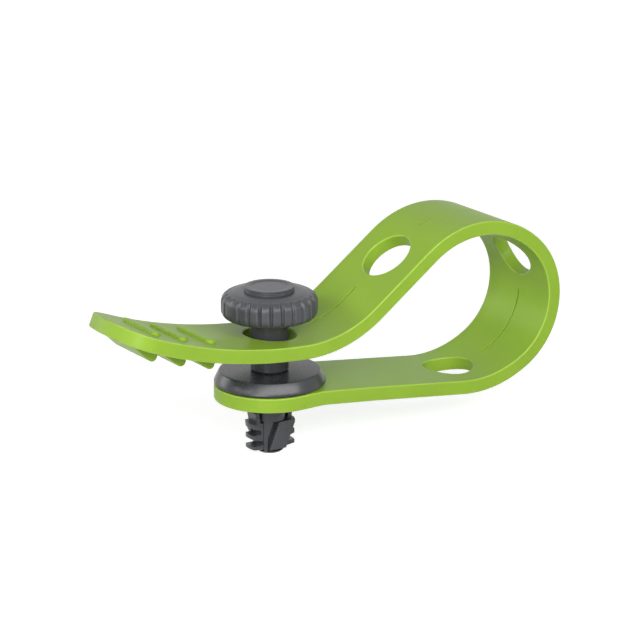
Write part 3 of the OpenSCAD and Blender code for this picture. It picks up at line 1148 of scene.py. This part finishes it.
@dataclass
class Stud:
    """The collar, the knob with its stem, and the cap: everything that turns about the axis."""

    knob_radius: float = 11.5 * MM
    rim_height: float = 6.1 * MM
    top_radius: float = 2.1 * MM
    foot_radius: float = 2.0 * MM
    dome_height: float = 0.5 * MM
    dome_power: float = 2.2
    stem_radius: float = 4.55 * MM
    boss_radius: float = 5.2 * MM
    boss_height: float = 1.4 * MM
    boss_flare: float = 0.3 * MM
    chamfer: float = 0.4 * MM
    stem_nick: float = 0.1 * MM
    groove_count: int = 26
    groove_turn: float = 4.6
    groove_radius: float = 0.58 * MM
    groove_depth: float = 0.60 * MM
    groove_steps: int = 22
    groove_shape: float = 1.35
    groove_blend: float = 0.10
    groove_ends: Point = (1.42, 1.25)
    groove_start: float = 8.0 * MM
    lip_place: float = 1.05
    lip_slope: float = 4.0
    screw_bore: float = 1.31 * MM
    head_bore: float = 2.95 * MM
    head_height: float = 1.8 * MM
    cap_seat: float = 6.06 * MM
    cap_sink: float = 0.1 * MM
    spigot_seat: float = 3.46 * MM
    spigot_fit: float = 0.06 * MM
    cap_side: float = 1.7 * MM
    cap_ring: float = 0.10 * MM
    cap_ring_depths: Point = (0.78 * MM, 0.42 * MM)
    cap_dish: float = 0.18 * MM
    cap_dish_edge: Point = (0.80, 0.74)
    cap_pole: float = 0.05 * MM
    collar_radius: float = 13.4 * MM
    collar_top_radius: float = 12.1 * MM
    collar_bore: float = 1.35 * MM
    web: float = 0.5 * MM
    hub_radius: float = 5.2 * MM
    hub_foot: float = 0.4 * MM
    cone_tip: float = 4.1 * MM
    core_bore: float = 3.71 * MM
    lip: float = 0.9 * MM
    undercut: float = 0.25 * MM
    bulge: float = 0.05 * MM
    softness: float = 0.16 * MM

    def build(self, palette: Palette) -> list[bpy.types.Object]:
        """Builds the collar, the knob and the cap.

        Args:
            palette: The materials.

        Returns:
            The pieces, riding on their bodies in place of the CAD solids.
        """
        collar = self._collar(palette)
        knob = self._knob(palette)
        cap = self._cap(palette)
        for piece, body, node, slot in (
            (collar, "base", "collar", Slot.BLACK),
            (knob, "knob", "knob", Slot.KNOB),
            (cap, "knob", "knob_cap", Slot.KNOB),
        ):
            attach(piece, body)
            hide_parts(node)
        return [collar, knob, cap]

    def _cap(self, palette: Palette) -> bpy.types.Object:
        """Turns the cap: a flat disc with fine rings round its side and a shallow dish on top.

        Args:
            palette: The materials.

        Returns:
            The cap.
        """
        low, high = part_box("knob_cap")
        radius, spigot = high.x, self.spigot_seat - self.spigot_fit
        seat, dish = high.z - self.cap_side, high.z - self.cap_dish
        side: list[Point] = []
        for level in (high.z - depth for depth in self.cap_ring_depths):
            side += [
                (radius, level - self.cap_ring), (radius - self.cap_ring, level),
                (radius, level + self.cap_ring),
            ]
        corners = [
            (self.cap_pole, low.z), (spigot, low.z), (spigot, seat), (radius, seat), *side,
            (radius, high.z), (radius * self.cap_dish_edge[0], high.z),
            (radius * self.cap_dish_edge[1], dish), (self.cap_pole, dish),
        ]
        rounding_steps, segments, longest, sharp_angle = 3, 128, 0.5 * MM, 32.0
        cap = lathe("cap_disc", soften(corners, self.softness, rounding_steps), segments, longest)
        dress(cap, palette[Slot.KNOB])
        smooth_off(cap, sharp_angle)
        return cap

    def _collar(self, palette: Palette) -> bpy.types.Object:
        """Turns the bevelled disc with its hub and its spreading cone.

        Args:
            palette: The materials.

        Returns:
            The collar.
        """
        low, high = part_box("collar")
        under, cavity = STRAP_THICKNESS, STRAP_THICKNESS - self.web
        rim, top, ledge = self.collar_radius, self.collar_top_radius, under + 3 * self.undercut
        corners = [
            (self.core_bore, low.z), (self.cone_tip, low.z), (self.hub_radius, -self.hub_foot),
            (self.hub_radius, under), (rim - self.lip, under), (rim - self.lip, under + self.undercut),
            (rim, under + 2 * self.undercut), (rim, ledge),
            ((rim + top) / 2 + self.bulge, (ledge + high.z) / 2 + self.bulge), (top, high.z),
            (self.collar_bore, high.z), (self.collar_bore, cavity), (self.core_bore, cavity),
        ]
        rounding_steps, segments, longest, sharp_angle = 4, 160, 0.7 * MM, 40.0
        collar = lathe("collar_ring", soften(corners, self.softness, rounding_steps), segments, longest)
        dress(collar, palette[Slot.BLACK])
        smooth_off(collar, sharp_angle)
        return collar

    def _knob(self, palette: Palette) -> bpy.types.Object:
        """Turns the knob with its boss and stem, and cuts the grip grooves.

        Args:
            palette: The materials.

        Returns:
            The knob.
        """
        low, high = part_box("knob")
        cap_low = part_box("knob_cap")[0]
        rim = high.z - self.dome_height
        foot = rim - self.rim_height
        boss = foot - self.boss_height
        dome = self.knob_radius - self.top_radius
        seat = rim - self.cap_sink
        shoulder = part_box("draw_screw")[1].z - self.head_height
        dome_steps, top_steps, foot_steps = (0.0, 0.25, 0.5, 0.7, 0.85), 10, 12
        outline = [
            (self.cap_seat + (dome - self.cap_seat) * t, rim + self.dome_height * (1 - t**self.dome_power))
            for t in dome_steps
        ]
        outline += round_corner(dome, rim - self.top_radius, self.top_radius, 90, 0, top_steps)
        outline += round_corner(
            self.knob_radius - self.foot_radius, foot + self.foot_radius, self.foot_radius, 0, -90,
            foot_steps,
        )
        outline += [
            (self.boss_radius + self.boss_flare, foot), (self.boss_radius, foot - self.boss_flare),
            (self.boss_radius, boss + self.chamfer), (self.boss_radius - self.chamfer, boss),
            (self.stem_radius + self.stem_nick, boss), (self.stem_radius, boss - self.stem_nick),
            (self.stem_radius, low.z + self.chamfer),
            (self.stem_radius - self.chamfer, low.z), (self.screw_bore, low.z),
            (self.screw_bore, shoulder), (self.head_bore, shoulder), (self.head_bore, cap_low.z),
            (self.spigot_seat, cap_low.z), (self.spigot_seat, seat), (self.cap_seat, seat),
        ]
        segments, longest, sharp_angle = self.groove_count * self.groove_steps, 0.45 * MM, 35.0
        knob = lathe("knob_grip", outline, segments, longest)
        self._groover(palette[Slot.KNOB], rim).run(knob)
        shade(knob, sharp_angle)
        return knob

    def _groover(self, material: bpy.types.Material, rim: float) -> Shaper:
        """Makes the tree that presses pointed grooves into the rim and over its shoulder.

        Args:
            material: The knob's material.
            rim: Height of the rim's upper edge.

        Returns:
            The tree, ready to run.
        """
        shaper = Shaper("groove_knob", (
            ("Groove Count", "Int", self.groove_count),
            ("First Groove", "Float", math.radians(self.groove_turn)),
            ("Half Width", "Float", self.groove_radius),
            ("Depth", "Float", self.groove_depth),
            ("Rim Top", "Float", rim),
            ("Shoulder", "Float", self.top_radius),
            ("Foot", "Float", self.foot_radius),
            ("Rim Height", "Float", self.rim_height),
            ("Material", "Material", material),
        ))
        tree, given = shaper.tree, shaper.given
        place = tree.add("GeometryNodeInputPosition").outputs[0]
        facing = tree.add("GeometryNodeInputNormal").outputs[0]
        xyz = tree.add("ShaderNodeSeparateXYZ", None, {0: place})
        x, y, z = (Value(tree, xyz.outputs[k]) for k in range(3))
        reach = (x * x + y * y).math("SQRT")
        pitch = 2 * math.pi * given["Groove Count"].math("POWER", -1.0)
        turn = (((y.math("ARCTAN2", x) - given["First Groove"]) / pitch + 0.5).math("FRACT") - 0.5) * pitch
        aside = (reach * turn.math("SINE")).math("ABSOLUTE") / given["Half Width"]
        # How far the surface has turned over the shoulder, and how far under the foot, in radians
        below = given["Rim Top"] - z
        over = ((given["Shoulder"] - below) / given["Shoulder"]).clamped().math("ARCSINE")
        under = ((below - given["Rim Height"] + given["Foot"]) / given["Foot"]).clamped().math("ARCSINE")
        # A groove narrows to a point where it runs out over the shoulder and under the foot
        ends = [
            (turned / end).math("POWER", 3.0) for turned, end in zip((over, under), self.groove_ends)
        ]
        fade = ends[0] + ends[1]
        hollow = (1.0 - aside.math("POWER", self.groove_shape) - fade).math(
            "SMOOTH_MAX", 0.0, self.groove_blend
        )
        inside = reach.math("GREATER_THAN", self.groove_start)
        # The lips of the grooves get a painted highlight: the stored layer lightens their colour
        lip = (1.0 - (aside - self.lip_place).math("ABSOLUTE") * self.lip_slope).math("MAXIMUM", 0.0)
        kept = tree.add(
            "GeometryNodeStoreNamedAttribute", {"data_type": "FLOAT", "domain": "POINT"},
            {"Geometry": given["Geometry"], "Name": EDGE_HIGHLIGHT_LAYER,
             "Value": lip * (1.0 - fade).math("MAXIMUM", 0.0) * inside},
        )
        pressed = tree.vector("SCALE", facing, hollow * given["Depth"] * -1.0)
        ground = tree.add(
            "GeometryNodeSetPosition", None,
            {"Geometry": kept.outputs[0], "Selection": inside, "Offset": pressed},
        )
        shaper.close(ground.outputs[0])
        return shaper


@dataclass
class Plug:
    """The expanding plug under the strap: core, two toothed arms and the metal inside."""

    core_bevel: float = 0.14 * MM
    arm_bevel: float = 0.16 * MM
    sharp_angle: float = 28.0
    flat_angle: float = 0.5
    weld: float = 0.002 * MM

    def build(self, palette: Palette) -> list[bpy.types.Object]:
        """Builds the plug's moulded pieces and dresses the metal ones.

        Args:
            palette: The materials.

        Returns:
            The pieces, riding on their bodies.
        """
        pieces = []
        for name, node, body, bevel in (
            ("plug_body", "plug_core", "plug", self.core_bevel),
            ("toothed_arm_right", "latch_arm_right", "arm_right", self.arm_bevel),
            ("toothed_arm_left", "latch_arm_left", "arm_left", self.arm_bevel),
        ):
            piece = self._finish_copy(name, node, bevel)
            dress(piece, palette[Slot.BLACK])
            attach(piece, body)
            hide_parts(node)
            pieces.append(piece)
        for node, slot in (
            ("draw_screw", Slot.STEEL), ("retaining_clip", Slot.STEEL), ("arm_pin", Slot.STEEL),
            ("threaded_insert", Slot.BRASS),
        ):
            dress(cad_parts[node], palette[slot])
            pieces.append(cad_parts[node])
        return pieces

    def _finish_copy(self, name: str, node: str, bevel: float) -> bpy.types.Object:
        """Copies a CAD node's mesh, merges it and rounds its edges.

        Args:
            name: The new piece's name.
            node: The CAD node.
            bevel: Width of the rounded edges.

        Returns:
            The new piece.
        """
        bm = bmesh.new()
        bm.from_mesh(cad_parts[node].data)
        bmesh.ops.remove_doubles(bm, verts=bm.verts, dist=self.weld)
        flat = math.radians(self.flat_angle)
        bmesh.ops.dissolve_limit(bm, angle_limit=flat, verts=bm.verts, edges=bm.edges)
        piece = mesh_object(name, bm)
        shade(piece, self.sharp_angle)
        rounding = piece.modifiers.new("rounded_edges", "BEVEL")
        rounding.width = bevel
        rounding.segments = 3
        rounding.limit_method = "ANGLE"
        rounding.angle_limit = math.radians(self.sharp_angle)
        weigh_normals(piece)
        bake_modifiers(piece)
        return piece


# --- Studio ---


@dataclass
class Studio:
    """The floor, the soft lights and the camera."""

    azimuth: float = -33.157
    elevation: float = 16.657
    distance: float = 0.6997
    target: Place = (0.014315, 0.0, 0.01663)
    lens: float = 163.97
    sensor: float = 36.0
    clip: Point = (0.05, 60.0)
    floor_size: float = 12.0
    floor_colour: Colour = (0.50, 0.50, 0.50)
    near_glow: float = 0.80
    far_glow: float = 0.2
    far_start: float = 0.25
    far_fade: float = 0.6
    room_light: float = 0.08
    aim: Place = (0.02, 0.0, 0.01)

    def build(self) -> None:
        """Sets the stage."""
        self._camera()
        self._floor()
        self._world()
        for lamp in (
            ("key_panel", (-0.10, -0.51, 0.34), (1.05, 0.23), 4.7),
            ("low_panel", (-0.42, -0.33, 0.10), (0.24, 0.16), 0.85),
            ("left_panel", (-0.547, 0.02, 0.291), (0.46, 0.15), 1.0),
            ("rim_panel", (-0.54, 0.84, 0.28), (0.40, 0.40), 1.4),
            ("top_panel", (0.55, -0.29, 0.83), (0.30, 0.30), 0.25),
        ):
            self._lamp(*lamp)
        bpy.context.scene.view_settings.view_transform = "Standard"

    def _camera(self) -> None:
        """Places the camera on the circle of view."""
        a, e = math.radians(self.azimuth), math.radians(self.elevation)
        back = Vector((math.sin(a) * math.cos(e), -math.cos(a) * math.cos(e), math.sin(e)))
        right = Vector((math.cos(a), math.sin(a), 0.0))
        up = back.cross(right)
        data = bpy.data.cameras.new("camera")
        data.lens = self.lens
        data.sensor_width = self.sensor
        data.sensor_fit = "HORIZONTAL"
        data.clip_start, data.clip_end = self.clip
        camera = link_object("camera", data)
        turned = Matrix((right, up, back)).transposed().to_4x4()
        camera.matrix_world = Matrix.Translation(Vector(self.target) + back * self.distance) @ turned
        bpy.context.scene.camera = camera

    def _floor(self) -> None:
        """Lays a pale floor under the plug's foot, which shows white far from the object."""
        bm = bmesh.new()
        half = self.floor_size / 2
        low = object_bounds()[0][2]
        corners = [(-half, -half), (half, -half), (half, half), (-half, half)]
        bm.faces.new([bm.verts.new((x, y, low)) for x, y in corners])
        floor = mesh_object("floor", bm)
        material = bpy.data.materials.new("floor_paper")
        tree = blank_tree(material)
        paper = tree.add("ShaderNodeBsdfDiffuse", None, {"Color": (*self.floor_colour, 1.0)})
        place = tree.add("ShaderNodeTexCoord").outputs["Object"]
        away = tree.value("ShaderNodeVectorMath", "Value", {"operation": "LENGTH"}, {0: place})
        far = ((away - self.far_start) / self.far_fade).clamped()
        strength = self._seen(tree) * (far * self.far_glow + self.near_glow)
        glow = tree.add("ShaderNodeEmission", None, {"Color": WHITE, "Strength": strength})
        both = tree.add("ShaderNodeAddShader", None, {0: paper.outputs[0], 1: glow.outputs[0]})
        tree.add("ShaderNodeOutputMaterial", None, {"Surface": both.outputs[0]})
        dress(floor, material)
        floor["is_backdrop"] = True

    @staticmethod
    def _seen(tree: Tree) -> Value:
        """Tells the rays that show the room from those that light the object.

        Args:
            tree: The tree of the floor's material or of the world.

        Returns:
            1 for a ray from the camera, through clear things or off shiny ones, 0 for others.
        """
        rays = tree.add("ShaderNodeLightPath").outputs
        camera, clear, glossy = (
            Value(tree, rays[f"Is {kind} Ray"]) for kind in ("Camera", "Transmission", "Glossy")
        )
        return camera.math("MAXIMUM", clear).math("MAXIMUM", glossy)

    def _world(self) -> None:
        """Fills the room with soft light and shows it white."""
        world = bpy.data.worlds.new("room")
        bpy.context.scene.world = world
        tree = blank_tree(world)
        strength = self._seen(tree) * (1 - self.room_light) + self.room_light
        shell = tree.add("ShaderNodeBackground", None, {"Color": WHITE, "Strength": strength})
        tree.add("ShaderNodeOutputWorld", None, {"Surface": shell.outputs[0]})

    def _lamp(self, name: str, place: Place, size: Point, power: float) -> None:
        """Hangs a soft light that faces the object.

        Args:
            name: The light's name.
            place: Its middle.
            size: How wide and how high it is.
            power: Its power in watts.
        """
        data = bpy.data.lights.new(name, "AREA")
        data.shape = "RECTANGLE"
        data.size, data.size_y = size
        data.energy = power
        lamp = link_object(name, data)
        lamp.location = place
        lamp.rotation_euler = (Vector(self.aim) - Vector(place)).to_track_quat("-Z", "Y").to_euler()


def main() -> None:
    """Builds the pieces in order and reports each one."""
    logging.basicConfig(level=logging.INFO, format="%(name)s: %(message)s")
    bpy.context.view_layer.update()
    palette = Palette()
    pieces = [Strap().build(palette)]
    pieces += Stud().build(palette)
    pieces += Plug().build(palette)
    for piece in pieces:
        LOG.info("%s: %d faces", piece.name, len(piece.data.polygons))
    Studio().build()


if __name__ == "__main__":
    main()
